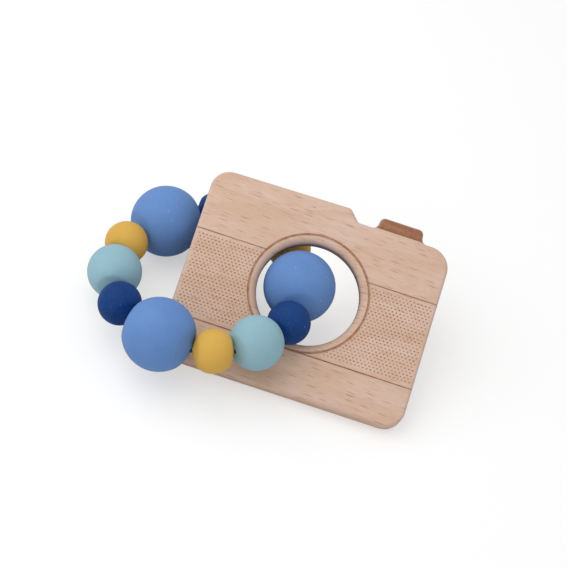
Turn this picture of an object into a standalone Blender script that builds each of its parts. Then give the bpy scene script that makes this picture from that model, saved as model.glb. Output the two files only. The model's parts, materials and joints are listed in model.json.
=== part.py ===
"""A camera rattle: a beech plate cut as a toy camera, with a loop of silicone beads through its lens hole.

The plate frame has its origin at the lens centre on the plate's middle plane, +X to the plate's right,
+Y to its top edge and +Z out of its engraved face. The whole rattle is laid on the floor at the end.
"""

import math

import bmesh
import bpy
from mathutils import Matrix, Vector

# Sizes in metres, angles in degrees

# Beech plate
PLATE_WIDTH = 0.0696
PLATE_THICKNESS = 0.0055
LENS_TO_BOTTOM = 0.0287
LENS_TO_HUMP_TOP = 0.0271
LENS_TO_SHOULDER = 0.0241
CORNER_RADIUS = 0.0055
EDGE_ROUND = 0.0010
RAMP_HEAD_X = 0.0044
RAMP_FOOT_X = 0.0075
RAMP_HEAD_RADIUS = 0.0018
RAMP_FOOT_RADIUS = 0.0014
ARC_STEP = 15.0
ROUND_STEPS = 3

# Shutter button, cut in one with the plate
BUTTON_LEFT_X = 0.0134
BUTTON_WIDTH = 0.0122
BUTTON_HEIGHT = 0.0039
BUTTON_CORNER_RADIUS = 0.0013
BUTTON_FOOT_RADIUS = 0.0012

# Lens hole and its rounded rim
HOLE_RADIUS = 0.01435
HOLE_ROUND = 0.0020
HOLE_SEGMENTS = 72

# Engraving
CIRCLE_RADIUS = 0.0166
CIRCLE_GROOVE_WIDTH = 0.00050
CIRCLE_GROOVE_DEPTH = 0.00035
LINE_GROOVE_WIDTH = 0.00040
LINE_GROOVE_DEPTH = 0.00028
UPPER_LINE_Y = 0.00836
LOWER_LINE_Y = -0.01660

# Silicone beads: widest diameter, height along the string as a share of it, and how deep the sloping
# seats, where neighbours lean on each other, cut into the ball
LARGE_DIAMETER = 0.0200
TEAL_DIAMETER = 0.0150
SMALL_DIAMETER = 0.0120
LARGE_HEIGHT_RATIO = 0.992
TEAL_HEIGHT_RATIO = 0.976
SMALL_HEIGHT_RATIO = 0.940
LARGE_SEAT_DEPTH = 0.00060
TEAL_SEAT_DEPTH = 0.00065
SMALL_SEAT_DEPTH = 0.00065
SEAT_ANGLE = 18.0
BEAD_GAP = 0.0003
BEAD_SEGMENTS = 24
BEAD_ARC_STEP = 13.0

# String, its knot and the clearance round them
STRING_DIAMETER = 0.0017
STRING_CLEARANCE = 0.00035
STRING_BEND_RADIUS = 0.0018
STRING_SIDES = 10
MOUTH_CHAMFER = 0.0003
KNOT_DIAMETER = 0.0030
KNOT_LENGTH = 0.0040

# Bead ring: an oval through the lens hole and round the plate's left edge
OVAL_RATIO = 0.918
OVAL_TURN = -107.0
FIRST_BEAD_START = -149.6
HINGE_X = -0.0269
HINGE_Y = -0.0042
HINGE_TURN = 11.1
RING_LEAN = 33.0

# Order of the beads along the string, three times round
BEAD_PATTERN = ("large_bead", "yellow_bead", "teal_bead", "navy_bead")
PATTERN_REPEATS = 3
KNOTTED_BEAD = "large_bead_2"

COLOURS = {
    "camera_body": (208, 176, 156),
    "bead_string": (226, 222, 212),
    "large_bead": (104, 142, 202),
    "yellow_bead": (217, 176, 91),
    "teal_bead": (152, 189, 202),
    "navy_bead": (36, 62, 120),
}
ROUGHNESS = {"camera_body": 0.65, "bead_string": 0.75}
BEAD_ROUGHNESS = 0.55

STRING_RADIUS = STRING_DIAMETER / 2
BORE_RADIUS = STRING_RADIUS + STRING_CLEARANCE
KNOT_CHAMBER_RADIUS = KNOT_DIAMETER / 2 + STRING_CLEARANCE
SOLVE_STEPS = 40
LAYOUT_STEPS = 8


def clear_scene():
    """Remove every object that is already in the scene."""
    for obj in list(bpy.data.objects):
        bpy.data.objects.remove(obj, do_unlink=True)


def linear(channel):
    """Turn one 0 to 255 screen colour channel into a linear value."""
    value = channel / 255
    if value <= 0.04045:
        return value / 12.92
    return ((value + 0.055) / 1.055) ** 2.4


def make_material(name, kind):
    """Make the plain material of one piece, coloured by its kind."""
    material = bpy.data.materials.new(name + "_material")
    material.use_nodes = True
    shader = material.node_tree.nodes["Principled BSDF"]
    red, green, blue = COLOURS[kind]
    shader.inputs["Base Color"].default_value = (linear(red), linear(green), linear(blue), 1.0)
    shader.inputs["Roughness"].default_value = ROUGHNESS.get(kind, BEAD_ROUGHNESS)
    shader.inputs["Metallic"].default_value = 0.0
    return material


def add_object(name, mesh, kind, parent):
    """Put a mesh in the scene as one named piece under its parent."""
    obj = bpy.data.objects.new(name, mesh)
    bpy.context.collection.objects.link(obj)
    obj.parent = parent
    mesh.materials.append(make_material(name, kind))
    mesh.shade_smooth()
    mesh.set_sharp_from_angle(angle=math.radians(35))
    return obj


def add_empty(name, parent, matrix):
    """Add an empty that carries other pieces, placed by a matrix in its parent's frame."""
    empty = bpy.data.objects.new(name, None)
    bpy.context.collection.objects.link(empty)
    empty.parent = parent
    empty.matrix_local = matrix
    return empty


def mesh_from(name, vertices, faces):
    """Make a mesh whose faces all point outwards."""
    work = bmesh.new()
    corners = [work.verts.new(place) for place in vertices]
    for face in faces:
        work.faces.new([corners[index] for index in face])
    bmesh.ops.recalc_face_normals(work, faces=work.faces)
    mesh = bpy.data.meshes.new(name)
    work.to_mesh(mesh)
    work.free()
    return mesh


def join_rings(first, second, count):
    """Faces between two closed rings of vertices with the same count."""
    faces = []
    for index in range(count):
        following = (index + 1) % count
        faces.append((first + index, first + following, second + following, second + index))
    return faces


# Plate

def outline_corners():
    """Corners of the plate before rounding, anticlockwise, each with its radius."""
    half = PLATE_WIDTH / 2
    button_right = BUTTON_LEFT_X + BUTTON_WIDTH
    button_top = LENS_TO_SHOULDER + BUTTON_HEIGHT
    return (
        (-half, -LENS_TO_BOTTOM, CORNER_RADIUS),
        (half, -LENS_TO_BOTTOM, CORNER_RADIUS),
        (half, LENS_TO_SHOULDER, CORNER_RADIUS),
        (button_right, LENS_TO_SHOULDER, BUTTON_FOOT_RADIUS),
        (button_right, button_top, BUTTON_CORNER_RADIUS),
        (BUTTON_LEFT_X, button_top, BUTTON_CORNER_RADIUS),
        (BUTTON_LEFT_X, LENS_TO_SHOULDER, BUTTON_FOOT_RADIUS),
        (RAMP_FOOT_X, LENS_TO_SHOULDER, RAMP_FOOT_RADIUS),
        (RAMP_HEAD_X, LENS_TO_HUMP_TOP, RAMP_HEAD_RADIUS),
        (-half, LENS_TO_HUMP_TOP, CORNER_RADIUS),
    )


def plate_outline():
    """Points round the plate, each with its outward normal, the corners rounded with arcs."""
    corners = [(Vector((x, y)), radius) for x, y, radius in outline_corners()]
    points = []
    for index, (corner, radius) in enumerate(corners):
        before = corners[index - 1][0]
        after = corners[(index + 1) % len(corners)][0]
        arriving = (corner - before).normalized()
        leaving = (after - corner).normalized()
        turn = arriving.x * leaving.y - arriving.y * leaving.x
        bend = math.atan2(turn, arriving.dot(leaving))
        side = math.copysign(1.0, bend)
        inward = Vector((-arriving.y, arriving.x)) * side
        start = corner - arriving * radius * math.tan(abs(bend) / 2)
        centre = start + inward * radius
        steps = max(2, math.ceil(math.degrees(abs(bend)) / ARC_STEP))
        for step in range(steps + 1):
            angle = bend * step / steps
            spoke = Vector((-inward.x, -inward.y))
            spoke.rotate(Matrix.Rotation(angle, 2))
            points.append((centre + spoke * radius, spoke * side))
    return points


def rounded_profile(radius):
    """Insets and heights from the plate's face round its edge to its back."""
    half = PLATE_THICKNESS / 2
    upper = []
    for step in range(ROUND_STEPS + 1):
        angle = math.radians(90 * step / ROUND_STEPS)
        inset = radius * (1 - math.sin(angle))
        height = half - radius * (1 - math.cos(angle))
        upper.append((inset, height))
    lower = [(inset, -height) for inset, height in reversed(upper)]
    return upper + lower


def plate_mesh():
    """The plate with its rounded outline and lens hole, before engraving."""
    work = bmesh.new()
    outline = plate_outline()
    loops = []
    edge = rounded_profile(EDGE_ROUND)
    for inset, height in edge:
        loops.append([work.verts.new((*(place - normal * inset), height)) for place, normal in outline])
    rim = rounded_profile(HOLE_ROUND)
    for inset, height in rim:
        loop = []
        for index in range(HOLE_SEGMENTS):
            angle = 2 * math.pi * index / HOLE_SEGMENTS
            reach = HOLE_RADIUS + inset
            loop.append(work.verts.new((reach * math.cos(angle), reach * math.sin(angle), height)))
        loops.append(loop)
    for first, second in zip(loops, loops[1:]):
        if len(first) != len(second):
            continue
        for index, vertex in enumerate(first):
            following = (index + 1) % len(first)
            work.faces.new((vertex, first[following], second[following], second[index]))
    for outer, inner in ((0, len(edge)), (len(edge) - 1, len(edge) + len(rim) - 1)):
        borders = []
        for loop in (loops[outer], loops[inner]):
            for index, vertex in enumerate(loop):
                pair = (vertex, loop[(index + 1) % len(loop)])
                borders.append(work.edges.get(pair) or work.edges.new(pair))
        bmesh.ops.triangle_fill(work, edges=borders, use_beauty=True)
    bmesh.ops.recalc_face_normals(work, faces=work.faces)
    mesh = bpy.data.meshes.new("camera_body")
    work.to_mesh(mesh)
    work.free()
    return mesh


def add_cutter(name, mesh, target):
    """Hide a cutter and take its shape out of the target with a Boolean modifier."""
    cutter = bpy.data.objects.new(name, mesh)
    bpy.context.collection.objects.link(cutter)
    cutter.parent = target.parent
    cutter.matrix_local = target.matrix_local
    cutter.hide_render = True
    cutter.display_type = "WIRE"
    cut = target.modifiers.new(name, "BOOLEAN")
    cut.operation = "DIFFERENCE"
    cut.solver = "EXACT"
    cut.object = cutter


def groove_box(name, left, right, middle):
    """A long box that cuts one straight engraved line into the plate's face."""
    face = PLATE_THICKNESS / 2
    low = middle - LINE_GROOVE_WIDTH / 2
    high = middle + LINE_GROOVE_WIDTH / 2
    floor = face - LINE_GROOVE_DEPTH
    roof = face + PLATE_THICKNESS / 2
    vertices = [(x, y, z) for x in (left, right) for y in (low, high) for z in (floor, roof)]
    faces = [(0, 1, 3, 2), (4, 6, 7, 5), (0, 4, 5, 1), (2, 3, 7, 6), (0, 2, 6, 4), (1, 5, 7, 3)]
    return mesh_from(name, vertices, faces)


def groove_ring(name):
    """A flat ring that cuts the engraved circle into the plate's face."""
    face = PLATE_THICKNESS / 2
    inner = CIRCLE_RADIUS - CIRCLE_GROOVE_WIDTH / 2
    outer = CIRCLE_RADIUS + CIRCLE_GROOVE_WIDTH / 2
    floor = face - CIRCLE_GROOVE_DEPTH
    roof = face + PLATE_THICKNESS / 2
    section = ((inner, floor), (outer, floor), (outer, roof), (inner, roof))
    vertices = []
    for reach, height in section:
        for index in range(HOLE_SEGMENTS):
            angle = 2 * math.pi * (index + 0.5) / HOLE_SEGMENTS
            vertices.append((reach * math.cos(angle), reach * math.sin(angle), height))
    faces = []
    for index in range(len(section)):
        following = (index + 1) % len(section)
        faces += join_rings(index * HOLE_SEGMENTS, following * HOLE_SEGMENTS, HOLE_SEGMENTS)
    return mesh_from(name, vertices, faces)


def add_plate(parent):
    """The engraved beech plate with its lens hole."""
    plate = add_object("camera_body", plate_mesh(), "camera_body", parent)
    beyond = PLATE_WIDTH / 2 + EDGE_ROUND
    meeting = math.sqrt(CIRCLE_RADIUS**2 - UPPER_LINE_Y**2)
    add_cutter("circle_cutter", groove_ring("circle_cutter"), plate)
    left_line = groove_box("upper_left_cutter", -beyond, -meeting, UPPER_LINE_Y)
    add_cutter("upper_left_cutter", left_line, plate)
    right_line = groove_box("upper_right_cutter", meeting, beyond, UPPER_LINE_Y)
    add_cutter("upper_right_cutter", right_line, plate)
    lower_line = groove_box("lower_cutter", -beyond, beyond, LOWER_LINE_Y)
    add_cutter("lower_cutter", lower_line, plate)
    return plate


# Beads

BEAD_SIZES = {
    "large_bead": (LARGE_DIAMETER, LARGE_HEIGHT_RATIO, LARGE_SEAT_DEPTH),
    "yellow_bead": (SMALL_DIAMETER, SMALL_HEIGHT_RATIO, SMALL_SEAT_DEPTH),
    "teal_bead": (TEAL_DIAMETER, TEAL_HEIGHT_RATIO, TEAL_SEAT_DEPTH),
    "navy_bead": (SMALL_DIAMETER, SMALL_HEIGHT_RATIO, SMALL_SEAT_DEPTH),
}


def bead_kinds():
    """The kind of each bead in order round the string."""
    return list(BEAD_PATTERN) * PATTERN_REPEATS


def bead_names():
    """The name of each bead in order round the string."""
    names = []
    for turn in range(PATTERN_REPEATS):
        for kind in BEAD_PATTERN:
            names.append(f"{kind}_{turn + 1}")
    return names


def seat_height(radius, seat):
    """Height of a bead's sloping end, where its neighbour leans on it, at one radius."""
    slope = math.radians(SEAT_ANGLE)
    return seat / math.cos(slope) - radius * math.tan(slope)


def bead_profile(kind, knotted):
    """Radii and heights from the middle of the bore, out over the top and down to the equator."""
    diameter, height_ratio, seat_depth = BEAD_SIZES[kind]
    half = diameter / 2
    seat = half - seat_depth
    low_angle = 0.0
    high_angle = 90.0
    for _ in range(SOLVE_STEPS):
        middle = (low_angle + high_angle) / 2
        spoke = math.radians(middle)
        if half * height_ratio * math.sin(spoke) < seat_height(half * math.cos(spoke), seat):
            low_angle = middle
        else:
            high_angle = middle
    crease = half * math.cos(math.radians(low_angle))
    mouth = BORE_RADIUS + MOUTH_CHAMFER
    profile = []
    if knotted:
        profile.append((KNOT_CHAMBER_RADIUS, KNOT_LENGTH / 2))
        profile.append((BORE_RADIUS, KNOT_LENGTH / 2 + KNOT_CHAMBER_RADIUS))
    profile.append((BORE_RADIUS, seat_height(mouth, seat) - MOUTH_CHAMFER))
    profile.append((mouth, seat_height(mouth, seat)))
    profile.append((crease, seat_height(crease, seat)))
    steps = math.ceil(low_angle / BEAD_ARC_STEP)
    for step in range(steps - 1, 0, -1):
        spoke = math.radians(low_angle * step / steps)
        profile.append((half * math.cos(spoke), half * height_ratio * math.sin(spoke)))
    profile.append((half, 0.0))
    return profile


def bead_mesh(name, kind, knotted):
    """One bead turned about its local Z axis, with its bore."""
    upper = bead_profile(kind, knotted)
    lower = [(radius, -height) for radius, height in reversed(upper[:-1])]
    profile = upper + lower
    vertices = []
    for radius, height in profile:
        for index in range(BEAD_SEGMENTS):
            angle = 2 * math.pi * index / BEAD_SEGMENTS
            vertices.append((radius * math.cos(angle), radius * math.sin(angle), height))
    faces = []
    for index in range(len(profile)):
        following = (index + 1) % len(profile)
        faces += join_rings(index * BEAD_SEGMENTS, following * BEAD_SEGMENTS, BEAD_SEGMENTS)
    return mesh_from(name, vertices, faces)


# Bead ring

def step_round(oval_half, start, length):
    """Parameter angle of the point on the oval that lies one straight length past a start angle."""
    origin = oval_point(oval_half, start)
    near = start
    far = start + math.pi / 2
    for _ in range(SOLVE_STEPS):
        middle = (near + far) / 2
        if (oval_point(oval_half, middle) - origin).length < length:
            near = middle
        else:
            far = middle
    return near


def oval_point(oval_half, angle):
    """A point on the oval in the ring's own plane."""
    return Vector((oval_half * math.cos(angle), oval_half * OVAL_RATIO * math.sin(angle), 0.0))


def bead_reach(kind, half_turn):
    """Distance along the string from a bead's centre to where the string turns into its neighbour."""
    slope = math.cos(half_turn)
    rise = math.sin(half_turn)
    support = max(height * slope + radius * rise for radius, height in bead_profile(kind, False))
    return (support + BEAD_GAP / 2) / slope


def close_oval(lengths):
    """Corners on the oval whose size lets straight lengths of string go round it just once."""
    small = sum(lengths) / (4 * math.pi)
    large = sum(lengths) / math.pi
    for _ in range(SOLVE_STEPS):
        oval_half = (small + large) / 2
        angles = [math.radians(FIRST_BEAD_START)]
        for length in lengths:
            angles.append(step_round(oval_half, angles[-1], length))
        if angles[-1] - angles[0] > 2 * math.pi:
            small = oval_half
        else:
            large = oval_half
    return [oval_point(oval_half, angle) for angle in angles[:-1]]


def ring_layout():
    """Corners where the string turns between beads, and the centre of each bead between them."""
    kinds = bead_kinds()
    count = len(kinds)
    half_turns = [math.pi / count] * count
    for _ in range(LAYOUT_STEPS):
        starts = [bead_reach(kind, half_turns[index]) for index, kind in enumerate(kinds)]
        ends = [bead_reach(kind, half_turns[(index + 1) % count]) for index, kind in enumerate(kinds)]
        corners = close_oval([start + end for start, end in zip(starts, ends)])
        for index, corner in enumerate(corners):
            arriving = corner - corners[index - 1]
            leaving = corners[(index + 1) % count] - corner
            half_turns[index] = arriving.angle(leaving) / 2
    centres = []
    for index, corner in enumerate(corners):
        along = (corners[(index + 1) % count] - corner).normalized()
        centres.append(corner + along * starts[index])
    return corners, centres


def string_path(corners, names):
    """Points along the string's middle line, each with the string's radius there."""
    path = []
    for index, corner in enumerate(corners):
        before = corners[index - 1]
        after = corners[(index + 1) % len(corners)]
        arriving = (corner - before).normalized()
        leaving = (after - corner).normalized()
        tangent = STRING_BEND_RADIUS * math.tan(arriving.angle(leaving) / 2)
        inner = (leaving - arriving).normalized()
        rise = STRING_BEND_RADIUS * (1 / math.cos(arriving.angle(leaving) / 2) - 1)
        path.append((corner - arriving * tangent, STRING_RADIUS))
        path.append((corner + inner * rise, STRING_RADIUS))
        path.append((corner + leaving * tangent, STRING_RADIUS))
        if names[index] == KNOTTED_BEAD:
            middle = (corner + after) / 2
            reach = KNOT_LENGTH / 2
            path.append((middle - leaving * reach, STRING_RADIUS))
            path.append((middle - leaving * reach * 0.6, KNOT_DIAMETER / 2))
            path.append((middle + leaving * reach * 0.6, KNOT_DIAMETER / 2))
            path.append((middle + leaving * reach, STRING_RADIUS))
    return path


def string_mesh(path):
    """A closed loop of round string along a path in the ring's plane."""
    vertices = []
    upright = Vector((0.0, 0.0, 1.0))
    for index, (place, radius) in enumerate(path):
        arriving = (place - path[index - 1][0]).normalized()
        leaving = (path[(index + 1) % len(path)][0] - place).normalized()
        side = upright.cross(arriving + leaving).normalized()
        for corner in range(STRING_SIDES):
            angle = 2 * math.pi * corner / STRING_SIDES
            vertices.append(place + (side * math.cos(angle) + upright * math.sin(angle)) * radius)
    faces = []
    for index in range(len(path)):
        following = (index + 1) % len(path)
        faces += join_rings(index * STRING_SIDES, following * STRING_SIDES, STRING_SIDES)
    return mesh_from("bead_string", vertices, faces)


def ring_matrix():
    """The ring's plane in the plate frame: X and Y along the oval, Z square to it."""
    hinge = Vector((math.cos(math.radians(HINGE_TURN)), math.sin(math.radians(HINGE_TURN)), 0.0))
    lean = Matrix.Rotation(-math.radians(RING_LEAN), 3, hinge)
    normal = lean @ Vector((0.0, 0.0, 1.0))
    across = normal.cross(hinge)
    turn = math.radians(OVAL_TURN)
    oval_x = hinge * math.cos(turn) + across * math.sin(turn)
    oval_y = normal.cross(oval_x)
    matrix = Matrix((oval_x, oval_y, normal)).transposed().to_4x4()
    matrix.translation = Vector((HINGE_X, HINGE_Y, 0.0))
    return matrix


def hinge_matrix():
    """The line on which the ring swings: X runs along it, towards the ring's outer end."""
    matrix = Matrix.Rotation(math.radians(180 + HINGE_TURN), 4, "Z")
    matrix.translation = Vector((HINGE_X, HINGE_Y, 0.0))
    return matrix


def add_bead_ring(parent):
    """The string and its twelve beads, under an empty on the line that the ring swings about."""
    hinge = add_empty("ring_hinge", parent, hinge_matrix())
    frame = hinge_matrix().inverted() @ ring_matrix()
    corners, centres = ring_layout()
    names = bead_names()
    string = add_object("bead_string", string_mesh(string_path(corners, names)), "bead_string", hinge)
    string.matrix_local = frame
    for index, (name, kind) in enumerate(zip(names, bead_kinds())):
        along = (corners[(index + 1) % len(corners)] - corners[index]).normalized()
        side = Vector((0.0, 0.0, 1.0)).cross(along)
        place = Matrix((Vector((0.0, 0.0, 1.0)), side, -along)).transposed().to_4x4()
        place.translation = centres[index]
        bead = add_object(name, bead_mesh(name, kind, name == KNOTTED_BEAD), kind, hinge)
        bead.matrix_local = frame @ place


# Resting pose

def resting_tilt():
    """Angle between plate and floor when the lower edge and the lowest bead both touch the floor."""
    edge = Vector((0.0, EDGE_ROUND - LENS_TO_BOTTOM, EDGE_ROUND - PLATE_THICKNESS / 2))
    frame = ring_matrix()
    centres = ring_layout()[1]
    tilt = 0.0
    for kind, centre in zip(bead_kinds(), centres):
        reach = frame @ centre - edge
        distance = math.hypot(reach.y, reach.z)
        drop = math.asin((BEAD_SIZES[kind][0] / 2 - EDGE_ROUND) / distance)
        tilt = max(tilt, math.atan2(-reach.z, reach.y) + drop)
    return tilt


def lay_on_floor(rest):
    """Tilt the rattle into its resting pose and centre it over the origin, its lowest point at zero."""
    rest.matrix_local = Matrix.Rotation(resting_tilt(), 4, "X")
    bpy.context.view_layer.update()
    places = []
    for obj in bpy.data.objects:
        if obj.type == "MESH" and not obj.hide_render:
            places += [obj.matrix_world @ vertex.co for vertex in obj.data.vertices]
    lowest = [min(place[axis] for place in places) for axis in range(3)]
    highest = [max(place[axis] for place in places) for axis in range(3)]
    shift = Vector(((lowest[0] + highest[0]) / 2, (lowest[1] + highest[1]) / 2, lowest[2]))
    rest.matrix_local = Matrix.Translation(-shift) @ rest.matrix_local
    bpy.context.view_layer.update()


def main():
    """Build the whole rattle."""
    clear_scene()
    rest = add_empty("resting_pose", None, Matrix.Identity(4))
    add_plate(rest)
    add_bead_ring(rest)
    lay_on_floor(rest)


main()
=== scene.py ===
import json
import math
from typing import NamedTuple

import bmesh
import bpy
from mathutils import Matrix, Vector
from mathutils.geometry import delaunay_2d_cdt, intersect_line_line


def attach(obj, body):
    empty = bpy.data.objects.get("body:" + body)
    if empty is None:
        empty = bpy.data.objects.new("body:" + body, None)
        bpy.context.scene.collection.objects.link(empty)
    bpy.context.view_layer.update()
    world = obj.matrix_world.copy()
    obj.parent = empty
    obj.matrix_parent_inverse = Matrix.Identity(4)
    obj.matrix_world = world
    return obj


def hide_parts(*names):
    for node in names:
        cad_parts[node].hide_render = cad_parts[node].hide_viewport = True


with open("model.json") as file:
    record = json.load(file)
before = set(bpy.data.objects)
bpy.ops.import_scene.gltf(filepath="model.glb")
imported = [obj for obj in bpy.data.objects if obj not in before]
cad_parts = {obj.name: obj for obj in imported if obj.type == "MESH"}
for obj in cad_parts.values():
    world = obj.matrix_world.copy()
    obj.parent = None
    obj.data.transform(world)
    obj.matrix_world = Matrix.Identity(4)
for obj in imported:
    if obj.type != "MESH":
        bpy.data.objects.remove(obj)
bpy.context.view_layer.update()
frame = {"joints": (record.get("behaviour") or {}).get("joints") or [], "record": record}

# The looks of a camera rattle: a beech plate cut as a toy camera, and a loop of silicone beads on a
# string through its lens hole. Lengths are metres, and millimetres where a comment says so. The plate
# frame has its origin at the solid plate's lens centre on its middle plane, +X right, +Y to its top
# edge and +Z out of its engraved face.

MM = 0.001

# Beech plate, in millimetres, measured from its lens, which lies a little off the plate frame's origin
LENS_SHIFT = (0.25, 0.22, 0.0)
PLATE_WIDTH = 69.8
PLATE_THICKNESS = 5.5
LENS_TO_BOTTOM = 28.9
LENS_TO_HUMP_LEFT = 26.4
LENS_TO_HUMP_RIGHT = 27.15
LENS_TO_SHOULDER = 23.88
CORNER_RADIUS = 5.5
SHOULDER_CORNER_RADIUS = 6.2
EDGE_ROUND = 1.0
RAMP_HEAD_X = 4.15
RAMP_FOOT_X = 7.25
RAMP_HEAD_RADIUS = 1.8
RAMP_FOOT_RADIUS = 1.4
BUTTON_LEFT_X = 13.15
BUTTON_WIDTH = 12.2
BUTTON_HEIGHT = 3.65
BUTTON_LEFT_FLARE = 0.70
BUTTON_RIGHT_FLARE = 0.45
BUTTON_CORNER_RADIUS = 1.5
BUTTON_FOOT_RADIUS = 1.5
HOLE_RADIUS = 14.35
HOLE_ROUND = 2.0
HOLE_SEGMENTS = 144
ARC_STEP = 6.0
ROUND_STEPS = 8
HOLE_ROUND_STEPS = 10

# Engraving, in millimetres, with floors as shares of what they lie in
CIRCLE_RADIUS = 16.72
CIRCLE_WIDTH = 0.62
CIRCLE_DEPTH = 0.24
UPPER_LINE_Y = 8.14
LOWER_LINE_Y = -16.82
LINE_WIDTH = 0.36
LINE_DEPTH = 0.17
LINE_PAST_CIRCLE = 0.02
GROOVE_FLOOR_SHARE = 0.4
DOT_PITCH = 1.1115
DOT_ROW_PITCH = 0.878
DOT_ROWS = 26
DOT_LOWEST_Y = -15.17
DOT_FIRST_X = 0.15
DOT_RADIUS = 0.20
DOT_FLOOR_SHARE = 0.55
DOT_DEPTH = 0.12
DOT_SIDES = 8
DOT_CLEAR_OF_CIRCLE = 0.62
DOT_CLEAR_OF_EDGE = 0.15

# Beads, in millimetres: each end slopes as the string bends there, so that neighbours lean on each other
BEAD_DIAMETERS = {"large": 20.0, "teal": 15.0, "yellow": 12.0, "navy": 12.0}
BEAD_HEIGHT_RATIOS = {"large": 1.000, "teal": 1.000, "yellow": 0.995, "navy": 0.995}
SEAT_GAP = 0.025
SEAT_BLEND = 0.21
BORE_RADIUS = 0.60
MOUTH_RADIUS = 0.12
MOUTH_STEPS = 4
BEAD_SEGMENTS = 96
BEAD_PROFILE_STEPS = 44

# String, in millimetres
STRING_RADIUS = 0.47
STRING_BEND_RADIUS = 1.8
STRING_BEND_STEPS = 6
STRING_STEP = 0.35
STRING_SIDES = 20
STRAND_LENGTH = 2.4
STRAND_RELIEF = 0.12
KNOT_RADIUS = 1.2
KNOT_LENGTH = 4.0
KNOT_CLEARANCE = 0.3
KNOTTED_BEAD = "large_bead_2"

# Mesh building: millimetres, the X part of a normal on the plate's straight sides, and degrees
SAME_HEIGHT = 1e-6
MERGE_DISTANCE = 1e-5
HOLE_MARGIN = 0.01
SIDE_NORMAL = 0.999
SHARP_ANGLE = 32.0

# Photograph's camera, in the plate frame and in millimetres
CAMERA_PLACE = (-18.287, -144.128, 539.83)
CAMERA_RIGHT = (0.950, 0.297, 0.099)
CAMERA_BACK = (-0.020, -0.260, 0.965)
PICTURE_SIZE = 567
FOCAL_PIXELS = 2030.0
SENSOR_WIDTH = 36.0

# Hinge point of the bead loop in the plate frame, in millimetres: it ties the plate frame to the record
HINGE_X = -26.9
HINGE_Y = -4.2

BEAD_NAMES = [f"{kind}_bead_{turn}" for turn in (1, 2, 3) for kind in ("large", "yellow", "teal", "navy")]


# Frame

def record_joint(name):
    """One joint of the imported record."""
    return next(joint for joint in frame["joints"] if joint["name"] == name)


def plate_matrix():
    """Where the plate frame lies in the row frame, from the plate's back face and the loop's hinge."""
    mount = next(mount for mount in frame["record"]["mounts"] if mount["name"] == "back_face")
    out = -Vector(mount["axis"]).normalized()
    right = Vector((1.0, 0.0, 0.0))
    up = out.cross(right)
    matrix = Matrix((right, up, out)).transposed().to_4x4()
    hinge = Vector(record_joint("ring_swing")["pos_m"])
    matrix.translation = hinge - (right * HINGE_X + up * HINGE_Y) * MM
    return matrix


def bead_matrix(name):
    """Where a bead's own frame lies, with +Z along its bore."""
    joint = record_joint(name + "_spin")
    axis = Vector(joint["axis"]).normalized()
    side = plate.col[2].to_3d().cross(axis).normalized()
    matrix = Matrix((side, axis.cross(side), axis)).transposed().to_4x4()
    matrix.translation = Vector(joint["pos_m"])
    return matrix


plate = plate_matrix()


# Mesh helpers

def new_piece(name, work, matrix, body, material):
    """Turn a bmesh into a named piece that rides on a body, with its place put into its mesh."""
    bmesh.ops.recalc_face_normals(work, faces=work.faces)
    work.transform(matrix)
    mesh = bpy.data.meshes.new(name)
    work.to_mesh(mesh)
    work.free()
    piece = bpy.data.objects.new(name, mesh)
    bpy.context.scene.collection.objects.link(piece)
    mesh.materials.append(material)
    mesh.shade_smooth()
    mesh.set_sharp_from_angle(angle=math.radians(SHARP_ANGLE))
    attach(piece, body)
    return piece


def bridge(work, first, second):
    """Join two closed loops of vertices with a band of faces."""
    for index, vertex in enumerate(first):
        following = (index + 1) % len(first)
        work.faces.new((vertex, first[following], second[following], second[index]))


def circle_points(radius, count, centre=(0.0, 0.0), turn=0.0):
    """Points round a circle."""
    points = []
    for index in range(count):
        angle = 2 * math.pi * (index + turn) / count
        points.append((centre[0] + radius * math.cos(angle), centre[1] + radius * math.sin(angle)))
    return points


# Plate

def outline_corners():
    """Corners of the plate before rounding, anticlockwise, each with its radius."""
    half = PLATE_WIDTH / 2
    button_right = BUTTON_LEFT_X + BUTTON_WIDTH
    button_top = LENS_TO_SHOULDER + BUTTON_HEIGHT
    return (
        (-half, -LENS_TO_BOTTOM, CORNER_RADIUS),
        (half, -LENS_TO_BOTTOM, CORNER_RADIUS),
        (half, LENS_TO_SHOULDER, SHOULDER_CORNER_RADIUS),
        (button_right + BUTTON_RIGHT_FLARE, LENS_TO_SHOULDER, BUTTON_FOOT_RADIUS),
        (button_right, button_top, BUTTON_CORNER_RADIUS),
        (BUTTON_LEFT_X, button_top, BUTTON_CORNER_RADIUS),
        (BUTTON_LEFT_X - BUTTON_LEFT_FLARE, LENS_TO_SHOULDER, BUTTON_FOOT_RADIUS),
        (RAMP_FOOT_X, LENS_TO_SHOULDER, RAMP_FOOT_RADIUS),
        (RAMP_HEAD_X, LENS_TO_HUMP_RIGHT, RAMP_HEAD_RADIUS),
        (-half, LENS_TO_HUMP_LEFT, CORNER_RADIUS),
    )


def groove_section(width):
    """Offsets across a groove and the share of its depth at each: lip, wall foot, wall foot, lip."""
    lip = width / 2
    foot = lip * GROOVE_FLOOR_SHARE
    return ((-lip, 0.0), (-foot, 1.0), (foot, 1.0), (lip, 0.0))


def line_depth(y):
    """Depth of the engraved straight lines at a height on the plate's left or right edge."""
    for middle in (UPPER_LINE_Y, LOWER_LINE_Y):
        for offset, share in groove_section(LINE_WIDTH):
            if abs(y - middle - offset) < SAME_HEIGHT:
                return share * LINE_DEPTH
    return 0.0


def line_heights():
    """Heights at which the straight lines' lips and feet cross the plate's left and right edges."""
    return sorted(middle + offset for middle in (UPPER_LINE_Y, LOWER_LINE_Y)
                  for offset, _ in groove_section(LINE_WIDTH))


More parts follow.
